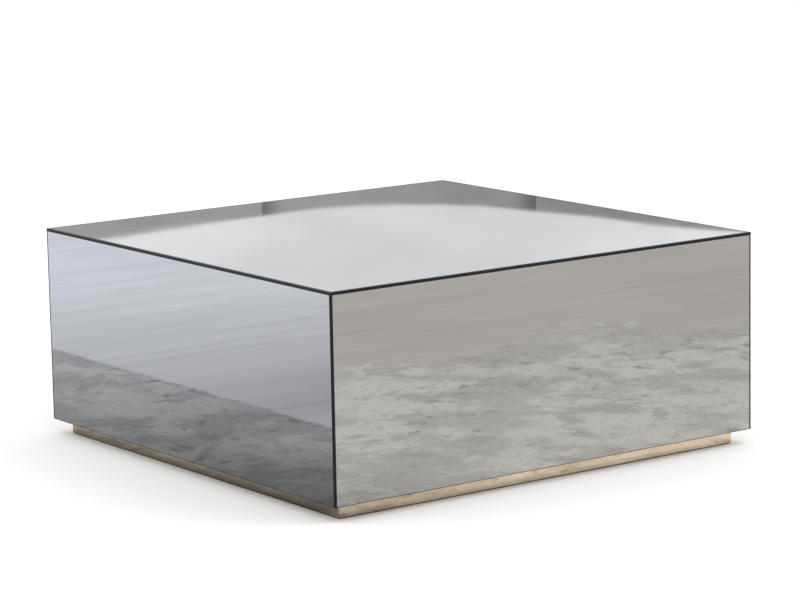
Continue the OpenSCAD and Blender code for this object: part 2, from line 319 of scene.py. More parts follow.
def champagne_metal():
    """Polished champagne metal with fine lines along the strip, handling marks, and dark brown
    streaks along it that are both stains and a painted reflection of the rug's streaks.
    """
    paint = Paint("champagne_metal", {"Metallic": 1.0})
    lines = paint.noise(1.0, detail=3.0, rough=0.6, stretch=(5, 5, 1900))
    handling = paint.noise(9.0, detail=7.0, rough=0.66, warp=0.5, stretch=(1, 1, 5))
    stains_and_reflection = paint.noise(24.0, detail=5.0, rough=0.7, stretch=(1, 1, 3))
    clean = paint.mix(lines, rgb(0.83, 0.70, 0.525), rgb(0.91, 0.785, 0.61))
    touched = paint.span(handling, 0.0, 0.6, 0.48, 0.7)
    handled = paint.mix(touched, clean, rgb(0.64, 0.50, 0.34))
    # Dark brown streaks along the strip: stains, and a painted reflection of the rug's streaks
    stain_and_reflection_share = paint.span(stains_and_reflection, 0.0, 0.7, 0.58, 0.70)
    paint.colour(paint.mix(stain_and_reflection_share, handled, rgb(0.36, 0.25, 0.13)))
    fine = paint.span(lines, 0.10, 0.15, 0.3, 0.7)
    paint.roughness(paint.maths("ADD", fine, paint.span(handling, 0.0, 0.1, 0.4, 0.8)))
    paint.bump((lines, 0.004 * MM), (handling, 0.03 * MM))
    return paint.material


def plated_steel(name, tint, roughest):
    """Zinc plating: small crystals, and a passivation tint that drifts."""
    paint = Paint(name, {"Metallic": 1.0})
    crystals = paint.flecks(900.0)
    drift = paint.noise(35.0, detail=4.0)
    paint.colour(paint.mix(drift, rgb(0.60, 0.62, 0.65), tint))
    paint.roughness(paint.span(crystals, 0.24, roughest, 0.0, 0.6))
    paint.bump((crystals, 0.01 * MM), (drift, 0.03 * MM))
    return paint.material


def moulded_nylon():
    """Black nylon with a fine spark-eroded grain."""
    paint = Paint("moulded_nylon")
    grain = paint.noise(2600.0, detail=2.0)
    flow = paint.noise(70.0, detail=3.0, warp=1.0)
    paint.colour(paint.mix(flow, rgb(0.012, 0.012, 0.013), rgb(0.028, 0.028, 0.029)))
    paint.roughness(paint.span(grain, 0.4, 0.58, 0.3, 0.7))
    paint.bump((grain, 0.03 * MM))
    return paint.material


def wear(piece, *materials):
    """Gives a piece these materials in place of its own."""
    piece.data.materials.clear()
    for material in materials:
        piece.data.materials.append(material)


# ---- Mesh tools ----

SAME_POINT = 0.001 * MM
# A thread's flat root and sloping flank, as shares of half a pitch. The rest is flat crest.
ROOT_FLAT = 0.1
THREAD_FLANK = 0.75


def skin(rings, closed=False):
    """Points and faces over rings of equal length. Open ends are capped."""
    count = len(rings[0])
    points = [point for ring in rings for point in ring]
    faces = []
    for start in range(len(rings) if closed else len(rings) - 1):
        here = start * count
        there = (start + 1) % len(rings) * count
        for i in range(count):
            after = (i + 1) % count
            faces.append((here + i, here + after, there + after, there + i))
    if not closed:
        last = (len(rings) - 1) * count
        faces.append(tuple(reversed(range(count))))
        faces.append(tuple(range(last, last + count)))
    return points, faces


def turned_ring(z, radius, segments):
    """Ring round the z axis. The radius is a number or a function of the angle."""
    ring = []
    for i in range(segments):
        angle = math.tau * i / segments
        reach = radius(angle) if callable(radius) else radius
        ring.append(Vector((reach * math.cos(angle), reach * math.sin(angle), z)))
    return ring


def moved(shape, matrix):
    """The same points and faces in another place."""
    points, faces = shape
    return [matrix @ point for point in points], faces


def centred(shape, low, high):
    """Shape made round the z axis, moved over to the middle of a box."""
    return moved(shape, Matrix.Translation(((low.x + high.x) / 2, (low.y + high.y) / 2, 0)))


def make_piece(name, shapes, material, body, stands_for, sharp=35.0):
    """One object from several shapes, riding on a body in place of CAD nodes.

    Edges between faces that turn by more than sharp degrees are shaded as sharp.
    """
    points = []
    faces = []
    for shape_points, shape_faces in shapes:
        first = len(points)
        points.extend(shape_points)
        faces.extend(tuple(first + i for i in face) for face in shape_faces)
    mesh = bpy.data.meshes.new(name)
    mesh.from_pydata(points, [], faces)
    work = bmesh.new()
    work.from_mesh(mesh)
    bmesh.ops.recalc_face_normals(work, faces=work.faces)
    work.to_mesh(mesh)
    work.free()
    mesh.shade_smooth()
    mesh.set_sharp_from_angle(angle=math.radians(sharp))
    mesh.materials.append(material)
    piece = bpy.data.objects.new(name, mesh)
    bpy.context.scene.collection.objects.link(piece)
    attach(piece, body)
    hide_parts(*stands_for)
    return piece


def solids_of(node):
    """Points of each separate solid in a CAD node, in the order of the mesh."""
    work = bmesh.new()
    work.from_mesh(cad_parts[node].data)
    bmesh.ops.remove_doubles(work, verts=work.verts, dist=SAME_POINT)
    solids = []
    for first in work.verts:
        if first.tag:
            continue
        first.tag = True
        found = [first]
        for vertex in found:
            for edge in vertex.link_edges:
                other = edge.other_vert(vertex)
                if not other.tag:
                    other.tag = True
                    found.append(other)
        solids.append([vertex.co.copy() for vertex in found])
    work.free()
    return solids


def box_of(points):
    """Lowest and highest corner of the box round some points."""
    low = Vector(min(point[i] for point in points) for i in range(3))
    high = Vector(max(point[i] for point in points) for i in range(3))
    return low, high


def ripple(place, seed):
    """Smooth uneven number between -1 and 1 along a length."""
    waves = [(31.0, 0.5), (73.0, 0.3), (167.0, 0.2)]
    return sum(share * math.sin(place * pace + seed * pace) for pace, share in waves)


def thread(turns):
    """Height of a thread between root, 0, and crest, 1, at a place counted in turns."""
    wave = abs(2 * (turns % 1) - 1)
    return min(1, max(0, (wave - ROOT_FLAT) / THREAD_FLANK))


# ---- Mirror panes ----

# Clear margin at a side pane's ends, round the top pane, and along a side pane's low and
# high edges
SIDE_MARGIN = 2.9 * MM
TOP_MARGIN = 4.8 * MM
LOW_MARGIN = 0.6 * MM
HIGH_MARGIN = 0.2 * MM
# Width of the bevel ground along a pane's long edges
ARRIS = 0.5 * MM
SAME_DEPTH = 0.05 * MM
SHARP_PANE = 10.0


def rectangle(middle, across, along, half, low, high):
    """Four corners in turn, half to each side across and from low to high along."""
    corners = [(-half, low), (half, low), (half, high), (-half, high)]
    return [middle + across * u + along * v for u, v in corners]


def make_pane(side, rings, materials):
    """Pane skinned from its painted back to its silvered face, inside a clear margin."""
    pane = make_piece("silvered_" + side + "_pane", [skin(rings)], materials["face"], "table",
                      [side + "_mirror"], SHARP_PANE)
    order = ["face", "edge", "margin", "back"]
    wear(pane, *(materials[part] for part in order))
    bands = len(rings) - 1
    for polygon in pane.data.polygons:
        band = polygon.index // 4
        part = "margin" if band == bands - 1 else "edge"
        if band == bands:
            part = "back" if polygon.index % 4 == 0 else "face"
        polygon.material_index = order.index(part)


def half_width_at(side, depth):
    """Half the width of a side pane's CAD solid, that far behind its face."""
    outward = SIDES[side]
    across = UP.cross(outward)
    places = [vertex.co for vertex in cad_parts[side + "_mirror"].data.vertices]
    face = max(place.dot(outward) for place in places)
    level = [place for place in places if abs(face - place.dot(outward) - depth) < SAME_DEPTH]
    return max(abs(place.dot(across)) for place in level)


def side_pane(side, materials):
    """Pane with mitred ends, ground corners, ground long edges and a clear margin."""
    low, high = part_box(side + "_mirror")
    outward = SIDES[side]
    across = UP.cross(outward)
    face = cad_high.x
    thickness = cad_high.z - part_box("top_mirror")[0].z
    ends = high.dot(Vector(map(abs, across)))
    face_half = half_width_at(side, 0)
    grind_depth = ends - face_half
    outline = [
        (thickness, half_width_at(side, thickness), low.z, high.z),
        (grind_depth, ends, low.z, high.z),
        (0, face_half, low.z + ARRIS, high.z - ARRIS),
        (0, face_half - SIDE_MARGIN, low.z + ARRIS + LOW_MARGIN, high.z - ARRIS - HIGH_MARGIN),
    ]
    rings = [rectangle(outward * (face - depth), across, UP, half, bottom, top)
             for depth, half, bottom, top in outline]
    make_pane(side, rings, materials)


def top_pane(materials):
    """Pane with ground edges above and below, and a clear margin all round."""
    low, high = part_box("top_mirror")
    outline = [
        (low.z, high.x - ARRIS),
        (low.z + ARRIS, high.x),
        (high.z - ARRIS, high.x),
        (high.z, high.x - ARRIS),
        (high.z, high.x - ARRIS - TOP_MARGIN),
    ]
    rings = [rectangle(UP * z, Vector((1, 0, 0)), Vector((0, 1, 0)), half, -half, half)
             for z, half in outline]
    make_pane("top", rings, materials)


# ---- Sealant in the corners ----

# Share of the panes' ground strips that a bead covers, and how much that varies
BEAD_COVER = 0.88
BEAD_SWING = 0.06
BEAD_CROWN = 0.2 * MM
BEAD_STEP = 6 * MM
BEAD_ARC_STEPS = 8


def corner_bead(corner, material):
    """Sealant in a corner's mitre, with a crowned bead over the ground strips."""
    node = "corner_seam_" + corner
    low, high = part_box(node)
    seam_half = (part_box("top_mirror")[0].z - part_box("front_mirror")[1].z) / 2
    strip_half = (cad_high.x - half_width_at("front", 0)) / math.sqrt(2)
    sign_x, sign_y = CORNERS[corner]
    outward = Vector((sign_x, sign_y, 0)).normalized()
    across = UP.cross(outward)
    outer = max(abs(low.x), abs(high.x)) * math.sqrt(2) - seam_half
    inner = min(abs(low.x), abs(high.x)) * math.sqrt(2) + seam_half
    steps = round((high.z - low.z) / BEAD_STEP)
    rings = []
    for step in range(steps + 1):
        z = low.z + (high.z - low.z) * step / steps
        half = BEAD_COVER * strip_half * (1 + BEAD_SWING * ripple(z, sign_x + 3 * sign_y))
        section = [(inner, seam_half), (inner, -seam_half), (outer, -seam_half)]
        for i in range(BEAD_ARC_STEPS + 1):
            angle = math.pi * i / BEAD_ARC_STEPS
            section.append((outer + BEAD_CROWN * math.sin(angle), -half * math.cos(angle)))
        section.append((outer, seam_half))
        rings.append([outward * out + across * side + UP * z for out, side in section])
    make_piece(node.replace("seam", "bead"), [skin(rings)], material, "table",
               [node])


# ---- Mastic ----

MASTIC_STEP = 10 * MM
MASTIC_SEGMENTS = 12
# Shares of the CAD strip's width: the usual spread, and how much it varies and wanders
MASTIC_SPREAD = 0.86
MASTIC_SWING = 0.1
MASTIC_SHIFT = 0.03
# Width at the very end as a share of the spread, and how fast it grows from there
MASTIC_END_SPREAD = 0.45
MASTIC_END = 18 * MM
# The section is a circle pressed flat above and below, with squarer sides
MASTIC_FLATNESS = 1.7
MASTIC_SQUARENESS = 0.6


def mastic_strip(points, seed):
    """Squeezed strip of mastic in the box of a plain CAD strip, flat where it is pressed."""
    low, high = box_of(points)
    size = high - low
    order = sorted(range(3), key=lambda axis: size[axis])
    thin, wide, long = (Vector((axis == 0, axis == 1, axis == 2)) for axis in order)
    middle = (low + high) / 2
    thickness, width, length = (size[axis] for axis in order)
    steps = round(length / MASTIC_STEP)
    rings = []
    for step in range(steps + 1):
        place = length * step / steps
        to_end = min(place, length - place)
        spread = MASTIC_SPREAD + MASTIC_SWING * ripple(place, seed)
        round_end = min(1, MASTIC_END_SPREAD + to_end / MASTIC_END)
        half = width / 2 * spread * round_end
        shift = MASTIC_SHIFT * width * ripple(place, seed + 7)
        ring = []
        for i in range(MASTIC_SEGMENTS):
            angle = math.tau * i / MASTIC_SEGMENTS
            flat = max(-1, min(1, MASTIC_FLATNESS * math.sin(angle)))
            out = math.copysign(abs(math.cos(angle)) ** MASTIC_SQUARENESS, math.cos(angle))
            ring.append(middle + long * (place - length / 2) + wide * (shift + half * out)
                        + thin * (thickness / 2 * flat))
        rings.append(ring)
    return skin(rings)


def lay_mastic(side, material):
    """All the mastic strips behind one pane."""
    node = side + "_mastic"
    strips = [mastic_strip(points, seed) for seed, points in enumerate(solids_of(node))]
    make_piece(side + "_mastic_beads", strips, material, "table", [node])


# ---- Screws ----

SCREW_SEGMENTS = 20
SCREW_RINGS_PER_PITCH = 6
SCREW_PITCH = 2.4 * MM
# Radii of the thread's root, the neck and the point, as shares of the CAD pin's radius
SCREW_ROOT = 0.64
SCREW_NECK = 0.8
SCREW_POINT = 0.04
# Length of the neck, as a share of all that is below the head
SCREW_SHANK = 0.3
HEAD_RIM = 0.5 * MM
HEAD_EDGE = 0.2 * MM
# Radius and depth of the drive, as shares of the head's radius, and its lobes, as a share
# of its own radius
DRIVE_R = 0.4
DRIVE_DEPTH = 0.45
DRIVE_LOBE = 0.12
DRIVE_LOBES = 6
DRIVE_MIDDLE = 0.05 * MM


def screw_thread(z, crest):
    """Radius of a wood screw at a height, as a function of the angle."""
    def radius(angle):
        height = thread(z / SCREW_PITCH - angle / math.tau)
        return crest * (SCREW_ROOT + (1 - SCREW_ROOT) * height)

    return radius


def wood_screw(length, head_r, shank_r):
    """Countersunk screw with a six-lobe drive, pointing down from z = 0."""
    drive_r = DRIVE_R * head_r
    drive_depth = DRIVE_DEPTH * head_r
    head_h = head_r - shank_r + HEAD_RIM
    thread_top = -head_h - SCREW_SHANK * (length - head_h)
    tip_h = 2 * shank_r

    def lobes(angle):
        return drive_r * (1 - DRIVE_LOBE + DRIVE_LOBE * math.cos(DRIVE_LOBES * angle))

    outline = [
        (-drive_depth, DRIVE_MIDDLE),
        (-drive_depth, lobes),
        (0, lobes),
        (0, head_r - HEAD_EDGE),
        (-HEAD_EDGE, head_r),
        (-HEAD_RIM, head_r),
        (-head_h, SCREW_NECK * shank_r),
        (thread_top, SCREW_NECK * shank_r),
    ]
    rings = [turned_ring(z, radius, SCREW_SEGMENTS) for z, radius in outline]
    thread_h = length + thread_top
    steps = round(thread_h / SCREW_PITCH * SCREW_RINGS_PER_PITCH)
    for step in range(1, steps + 1):
        z = thread_top - thread_h * step / steps
        taper = min(1, max(SCREW_POINT, (length + z) / tip_h))
        rings.append(turned_ring(z, screw_thread(z, taper * shank_r), SCREW_SEGMENTS))
    return skin(rings)


def screw_in_place(points):
    """Wood screw in the place of a CAD screw, whose head is twice as wide as its pin."""
    low, high = box_of(points)
    size = high - low
    axis = max(range(3), key=lambda i: size[i])
    middle = (low + high) / 2
    across = (axis + 1) % 3
    rim = 0.45 * size[across]
    wide = [point[axis] for point in points if abs(point[across] - middle[across]) > rim]
    head_high = sum(wide) / len(wide) > middle[axis]
    head = middle.copy()
    head[axis] = high[axis] if head_high else low[axis]
    upward = Vector((axis == 0, axis == 1, axis == 2)) * (1 if head_high else -1)
    turn = UP.rotation_difference(upward).to_matrix().to_4x4()
    head_r = size[across] / 2
    shape = wood_screw(size[axis], head_r, head_r / 2)
    return moved(shape, Matrix.Translation(head) @ turn)


def drive_screws(node, material):
    """All the screws of a CAD node, as one piece."""
    screws = [screw_in_place(points) for points in solids_of(node)]
    make_piece("threaded_" + node, screws, material, "table", [node])


# ---- Levelling feet ----

FOOT_SEGMENTS = 36
STEM_R = 4 * MM
STEM_PLAY = 0.02 * MM
STEM_CHAMFER = 1 * MM
PITCH = 1.25 * MM
STEPS_PER_PITCH = 8
THREAD_DEPTH = 0.65 * MM
THREAD_PLAY = 0.12 * MM
THREAD_RELIEF = 0.1 * MM
BALL_R = 3.5 * MM
BALL_START = 0.03
BALL_STEPS = 12
NECK_R = 2.4 * MM
NUT_H = 4 * MM
NUT_GAP = 0.3 * MM
NUT_CHAMFER = 0.6 * MM
NUT_STEPS = 4
# Width of the hexagon's round end faces, as a share of its width across flats
NUT_FACE = 0.96


def thread_radius(z, crest, limit):
    """Radius of the right-handed thread at a height, as a function of the angle."""
    def radius(angle):
        height = thread(z / PITCH - angle / math.tau)
        return min(limit, crest - THREAD_DEPTH * (1 - height))

    return radius


def thread_rings(low, high, crest, chamfer=0.0):
    """Rings of a thread, with its crests turned down towards a chamfered upper end."""
    steps = math.ceil((high - low) / PITCH * STEPS_PER_PITCH)
    rings = []
    for step in range(steps + 1):
        z = low + (high - low) * step / steps
        limit = crest - max(0, chamfer - (high - z))
        rings.append(turned_ring(z, thread_radius(z, crest, limit), FOOT_SEGMENTS))
    return rings


def hexagon(flats, limit):
    """Hexagon by its width across flats, with its points turned down to a limit."""
    return lambda angle: min(limit, flats / 2 / math.cos(angle % (math.pi / 3) - math.pi / 6))


def nut_rings(low, high, flats, corner_r):
    """Rings of a hexagon whose points are turned down to a cone at each end."""
    face_r = NUT_FACE * flats / 2
    lower = []
    upper = []
    for i in range(NUT_STEPS + 1):
        depth = NUT_CHAMFER * i / NUT_STEPS
        outline = hexagon(flats, face_r + (corner_r - face_r) * i / NUT_STEPS)
        lower.append(turned_ring(low + depth, outline, FOOT_SEGMENTS))
        upper.append(turned_ring(high - depth, outline, FOOT_SEGMENTS))
    return lower + upper[::-1]


def ball_rings(middle, radius, start, end, steps, segments):
    """Rings of a ball between two angles, counted from straight below its middle."""
    rings = []
    for i in range(steps + 1):
        angle = start + (end - start) * i / steps
        rings.append(turned_ring(middle - radius * math.cos(angle), radius * math.sin(angle),
                                 segments))
    return rings


def levelling_stem(corner, material):
    """Ball, neck, hexagon and M8 thread of one foot."""
    low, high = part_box("foot_stem_" + corner)
    insert_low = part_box("foot_insert_" + corner)[0]
    flats = high.y - low.y
    corner_r = (high.x - low.x) / 2
    nut_high = insert_low.z - NUT_GAP
    nut_low = nut_high - NUT_H
    crest = STEM_R - STEM_PLAY
    neck_angle = math.pi - math.asin(NECK_R / BALL_R)
    rings = ball_rings(low.z + BALL_R, BALL_R, BALL_START, neck_angle, BALL_STEPS,
                       FOOT_SEGMENTS)
    rings.append(turned_ring(nut_low, NECK_R, FOOT_SEGMENTS))
    rings.extend(nut_rings(nut_low, nut_high, flats, corner_r))
    rings.append(turned_ring(nut_high, crest - THREAD_DEPTH, FOOT_SEGMENTS))
    rings.extend(thread_rings(nut_high + THREAD_RELIEF, high.z, crest, STEM_CHAMFER))
    make_piece("threaded_stem_" + corner, [centred(skin(rings), low, high)], material,
               "stem_" + corner, ["foot_stem_" + corner])


FLANGE_H = 1.5 * MM
FLANGE_EDGE = 0.25 * MM
FLANGE_NOTCHES = 9
NOTCH_DEPTH = 0.03
NOTCH_START = 0.6
BARREL_R = 5.5 * MM
BARBS = 4
BARB_DEPTH = 0.35 * MM
BARB_RISE = 0.1 * MM
BARB_SHARE = 0.9
BARB_END = 1 * MM
COUNTERSINK = 0.4 * MM
MOUTH = 0.5 * MM


def press_in_nut(corner, material):
    """Flanged nut with barbs outside and the stem's thread inside."""
    low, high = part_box("foot_insert_" + corner)
    flange_r = (high.x - low.x) / 2
    flange_top = low.z + FLANGE_H
    root_r = BARREL_R - BARB_DEPTH
    bore = STEM_R + THREAD_PLAY

    def notched(angle):
        wave = math.cos(FLANGE_NOTCHES * angle)
        return flange_r * (1 - NOTCH_DEPTH * max(0, wave - NOTCH_START))

    outline = [
        (low.z, bore + MOUTH),
        (low.z, flange_r - FLANGE_EDGE),
        (low.z + FLANGE_EDGE, notched),
        (flange_top - FLANGE_EDGE, notched),
        (flange_top, flange_r - FLANGE_EDGE),
        (flange_top, root_r),
    ]
    barb_low = flange_top + BARB_END
    barb_h = (high.z - BARB_END - barb_low) / BARBS
    for i in range(BARBS):
        outline.append((barb_low + barb_h * i, root_r))
        outline.append((barb_low + barb_h * i + BARB_RISE, BARREL_R))
        outline.append((barb_low + barb_h * (i + BARB_SHARE), root_r))
    outline.extend([
        (high.z - COUNTERSINK, root_r),
        (high.z, root_r - COUNTERSINK),
        (high.z, bore + COUNTERSINK),
        (high.z - COUNTERSINK, bore),
    ])
    rings = [turned_ring(z, radius, FOOT_SEGMENTS) for z, radius in outline]
    rings.extend(reversed(thread_rings(low.z + MOUTH, high.z - MOUTH, bore)))
    rings.append(turned_ring(low.z + COUNTERSINK, bore, FOOT_SEGMENTS))
    make_piece("threaded_insert_" + corner, [centred(skin(rings, closed=True), low, high)],
               material, "table", ["foot_insert_" + corner])


PAD_SEGMENTS = 96
PAD_FLUTES = 24
FLUTE_DEPTH = 0.35 * MM
SOCKET_R = 3.6 * MM
SOCKET_END = 0.04
SOCKET_STEPS = 10


def moulded_pad(corner, material):
    """Pad with a fluted rim, a hollow underside and the socket that holds the ball."""
    low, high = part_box("foot_pad_" + corner)
    rim_r = (high.x - low.x) / 2
    ball_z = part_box("foot_stem_" + corner)[0].z + BALL_R
    bottom = low.z
    top = high.z

    def fluted(depth):
        def radius(angle):
            return rim_r - depth - FLUTE_DEPTH * max(0, math.cos(PAD_FLUTES * angle)) ** 2

        return radius

    # Heights and radii, from the middle of the hollow underside out and up to the socket
    outline = [
        (bottom + 0.5 * MM, 0.2 * MM),
        (bottom + 0.5 * MM, 0.72 * rim_r),
        (bottom + 0.35 * MM, 0.74 * rim_r),
        (bottom, 0.76 * rim_r),
        (bottom, 0.93 * rim_r),
        (bottom + 0.15 * MM, fluted(0.6 * MM)),
        (bottom + 0.5 * MM, fluted(0.2 * MM)),
        (bottom + 1 * MM, fluted(0)),
        (bottom + 2.9 * MM, fluted(0)),
        (bottom + 3.3 * MM, fluted(0.15 * MM)),
        (bottom + 3.6 * MM, fluted(0.5 * MM)),
        (bottom + 3.8 * MM, 0.92 * rim_r),
        (bottom + 5.7 * MM, 0.56 * rim_r),
        (bottom + 6.3 * MM, 0.46 * rim_r),
        (top - 0.4 * MM, 0.42 * rim_r),
        (top - 0.1 * MM, 0.40 * rim_r),
        (top, 0.37 * rim_r),
    ]
    rings = [turned_ring(z, radius, PAD_SEGMENTS) for z, radius in outline]
    lip = math.pi / 2 + math.asin((top - ball_z) / SOCKET_R)
    rings.extend(ball_rings(ball_z, SOCKET_R, lip, SOCKET_END, SOCKET_STEPS, PAD_SEGMENTS))
    make_piece("moulded_pad_" + corner, [centred(skin(rings), low, high)], material,
               "pad_" + corner, ["foot_pad_" + corner])


# ---- Carcass and plinth ----


def dress_carcass():
    """Materials of the boards, battens and foot blocks, which keep their CAD shapes."""
    board = fibre_board()
    for node in ["top_panel", "front_panel", "right_panel", "back_panel", "left_panel",
                 "base_panel", "rib_left_right", "rib_front_back"]:
        wear(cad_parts[node], board)
    pine = grained_wood("pine", ring_scale=26.0, pale=rgb(0.72, 0.53, 0.31),
                        dark=rgb(0.5, 0.3, 0.13), along=2)
    beech = grained_wood("beech", ring_scale=60.0, pale=rgb(0.56, 0.36, 0.21),
                         dark=rgb(0.47, 0.28, 0.15), along=0)
    for corner in CORNERS:
        wear(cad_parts["batten_" + corner], pine)
        wear(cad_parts["foot_block_" + corner], beech)


def dress_plinth():
    """Materials of the plinth's rails and trim, which keep their CAD shapes."""
    board = black_board()
    metal = champagne_metal()
    for side in SIDES:
        wear(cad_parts["plinth_rail_" + side], board)
    for corner in ["front_left", "back_right"]:
        wear(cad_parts["plinth_trim_" + corner], metal)


glass = {
    "face": mirror_face(),
    "edge": glass_edge(),
    "margin": bare_margin(),
    "back": backing_paint(),
}
top_pane(glass)
for side in SIDES:
    side_pane(side, glass)
dress_carcass()
dress_plinth()
seal = sealant()
wear(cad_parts["top_seam"], seal)
grip = mastic()
for side in ["top", *SIDES]:
    lay_mastic(side, grip)
bright_zinc = plated_steel("bright_zinc", rgb(0.72, 0.69, 0.60), 0.42)
clear_zinc = plated_steel("clear_zinc", rgb(0.70, 0.72, 0.76), 0.36)
for screws in ["corner", "rib", "top", "base", "plinth", "block"]:
    drive_screws(screws + "_screws", bright_zinc)
nylon = moulded_nylon()
for corner in CORNERS:
    corner_bead(corner, seal)
    levelling_stem(corner, clear_zinc)
    press_in_nut(corner, clear_zinc)
    moulded_pad(corner, nylon)


# ---- Studio ----

FLOOR_HALF = 40.0
DOME_R = 35.0


def stage_plane(name, material):
    """Large square on the floor."""
    mesh = bpy.data.meshes.new(name)
    corners = [(-FLOOR_HALF, -FLOOR_HALF, 0), (FLOOR_HALF, -FLOOR_HALF, 0),
               (FLOOR_HALF, FLOOR_HALF, 0), (-FLOOR_HALF, FLOOR_HALF, 0)]
    mesh.from_pydata(corners, [], [(0, 1, 2, 3)])
    mesh.materials.append(material)
    plane = bpy.data.objects.new(name, mesh)
    bpy.context.scene.collection.objects.link(plane)
    return plane


def pale_floor():
    """Plain pale floor, not mirrored. It is clear from below, so that the underside shows."""
    paint = Paint("pale_floor")
    grain = paint.noise(3.0, detail=3.0)
    paint.colour(paint.mix(grain, rgb(0.86, 0.86, 0.86), rgb(0.88, 0.88, 0.88)))
    paint.roughness(0.9)
    below = paint.add("ShaderNodeNewGeometry").outputs["Backfacing"]
    clear = paint.add("ShaderNodeBsdfTransparent").outputs[0]
    either = {0: below, 1: paint.surface.outputs[0], 2: clear}
    paint.show(paint.add("ShaderNodeMixShader", either))
    floor = stage_plane("floor", paint.material)
    floor.visible_glossy = False


def only_in_reflections(card):
    """Leaves a stage object to be seen by mirrors alone."""
    card.visible_camera = False
    card.visible_diffuse = False
    card.visible_transmission = False
    card.visible_volume_scatter = False
    card.visible_shadow = False


def glow(paint, colour, strength):
    """Makes the material a plain glow of a colour."""
    paint.show(paint.add("ShaderNodeEmission", {"Color": colour, "Strength": strength}))


# How far the rug reaches beyond each side of the table
RUG_BEYOND_LEFT = 0.41
RUG_BEYOND_FRONT = 1.10
RUG_BEYOND_RIGHT = 1.5
RUG_BEYOND_BACK = 1.3
# Slope of its front edge, and a bulge in it that is widest at one place along x
RUG_SKEW = 0.33
RUG_BULGE = 0.24
RUG_BULGE_AT = 0.92


def rug_reach(paint, x, y):
    """How far inside the rug's edge a place is. Its front edge is ragged, askew and bulged."""
    half = cad_high.x
    ragged = paint.span(paint.noise(5.0, detail=8.0, rough=0.7), -0.16, 0.16, 0.3, 0.7)
    nap = paint.span(paint.noise(40.0, detail=5.0), -0.005, 0.005, 0.3, 0.7)
    skewed = paint.maths("ADD", y, paint.maths("MULTIPLY", x, -RUG_SKEW))
    off_bulge = paint.maths("ABSOLUTE", paint.maths("SUBTRACT", x, RUG_BULGE_AT))
    bulge = paint.span(off_bulge, RUG_BULGE, 0.0, 0.05, 0.5)
    uneven = paint.maths("ADD", ragged, bulge)
    from_front = paint.maths("ADD", paint.maths("ADD", skewed, half + RUG_BEYOND_FRONT), uneven)
    from_left = paint.maths("ADD", paint.maths("ADD", x, half + RUG_BEYOND_LEFT), nap)
    from_right = paint.maths("SUBTRACT", half + RUG_BEYOND_RIGHT, x)
    from_back = paint.maths("SUBTRACT", half + RUG_BEYOND_BACK, y)
    return paint.maths("MINIMUM", paint.maths("MINIMUM", from_left, from_front),
                       paint.maths("MINIMUM", from_right, from_back))


def rug_colour(paint, to_left):
    """Worn pile: ragged pale and dark patches, flecks and tufts, with painted light: a warm tint
    to the front, cooler and brighter to the left.
    """
    patches = paint.span(paint.noise(3.4, detail=12.0, rough=0.7), 0.0, 1.0, 0.44, 0.54)
    worn = paint.span(paint.noise(7.5, detail=12.0, rough=0.7, warp=0.3), 0.0, 0.9, 0.51, 0.60)
    fleck = paint.span(paint.noise(19.0, detail=5.0, rough=0.62, warp=0.4), 0.0, 0.9, 0.56, 0.62)
    cluster = paint.span(paint.noise(2.2, detail=4.0), 0.1, 1.0, 0.42, 0.6)
    tufts = paint.noise(80.0, detail=5.0, rough=0.7)
    pile = paint.mix(patches, rgb(0.415, 0.412, 0.410), rgb(0.52, 0.517, 0.513))
    pile = paint.mix(worn, pile, rgb(0.370, 0.367, 0.364))
    pile = paint.mix(paint.maths("MULTIPLY", fleck, cluster), pile, rgb(0.30, 0.298, 0.294))
    pile = paint.mix(paint.span(tufts, 0.0, 0.3, 0.42, 0.68), pile, rgb(0.2, 0.2, 0.2))
    # Painted light: a warm copy of the pile for the front, and a cooler, brighter copy for the
    # left
    front_lit = paint.tinted(pile, (1.05, 1.012, 0.97))
    left_lit = paint.tinted(pile, (1.085, 1.085, 1.11))
    return paint.mix(paint.span(to_left, 0.0, 1.0, -0.3, 0.3), front_lit, left_lit)


def board_colour(paint, to_left):
    """Pale boards along x, with painted light: cool and bright to the left, warm and dimmer to
    the front.
    """
    grain = paint.noise(1.0, detail=9.0, rough=0.72, warp=0.3, stretch=(0.9, 13.0, 1.0))
    drift = paint.noise(1.1, detail=5.0, rough=0.6)
    share = paint.span(paint.between(0.45, grain, drift), 0.0, 1.0, 0.36, 0.64)
    # Painted light: lit copies of the boards, cool and bright to the left, warm and dim to the
    # front
    left_lit = paint.mix(share, rgb(0.570, 0.582, 0.620), rgb(0.675, 0.685, 0.730))
    front_lit = paint.mix(share, rgb(0.392, 0.366, 0.346), rgb(0.462, 0.436, 0.411))
    return paint.mix(paint.span(to_left, 0.0, 1.0, -0.4, 0.4), front_lit, left_lit)


# Where along the table's left side its shade is deepest, and how much faster it fades
# towards the front than towards the back
SHADE_AT = -0.35
SHADE_STEEPER_IN_FRONT = 2.2
# Middle of a patch of painted light on the floor left of the table
LIGHT_PATCH_AT = (-0.86, 0.06, 0.0)


def left_shade(paint, y, out):
    """Painted shade on the floor left of the table, deepest at its front end, with a patch of
    painted light.
    """
    behind = paint.maths("SUBTRACT", y, SHADE_AT)
    before = paint.maths("MULTIPLY", behind, -SHADE_STEEPER_IN_FRONT)
    away = paint.maths("MAXIMUM", behind, before)
    beside = paint.span(away, 0.2, 1.05, -0.55, 2.45)
    # Painted shade close to the table's edge, and a patch of painted light
    close_shade = paint.span(out, 0.85, 1.0, 0.05, 0.2)
    light_patch = paint.span(paint.distance(LIGHT_PATCH_AT), 1.35, 1.0, 0.05, 0.3)
    return paint.maths("MULTIPLY", beside, paint.maths("MULTIPLY", close_shade, light_patch))


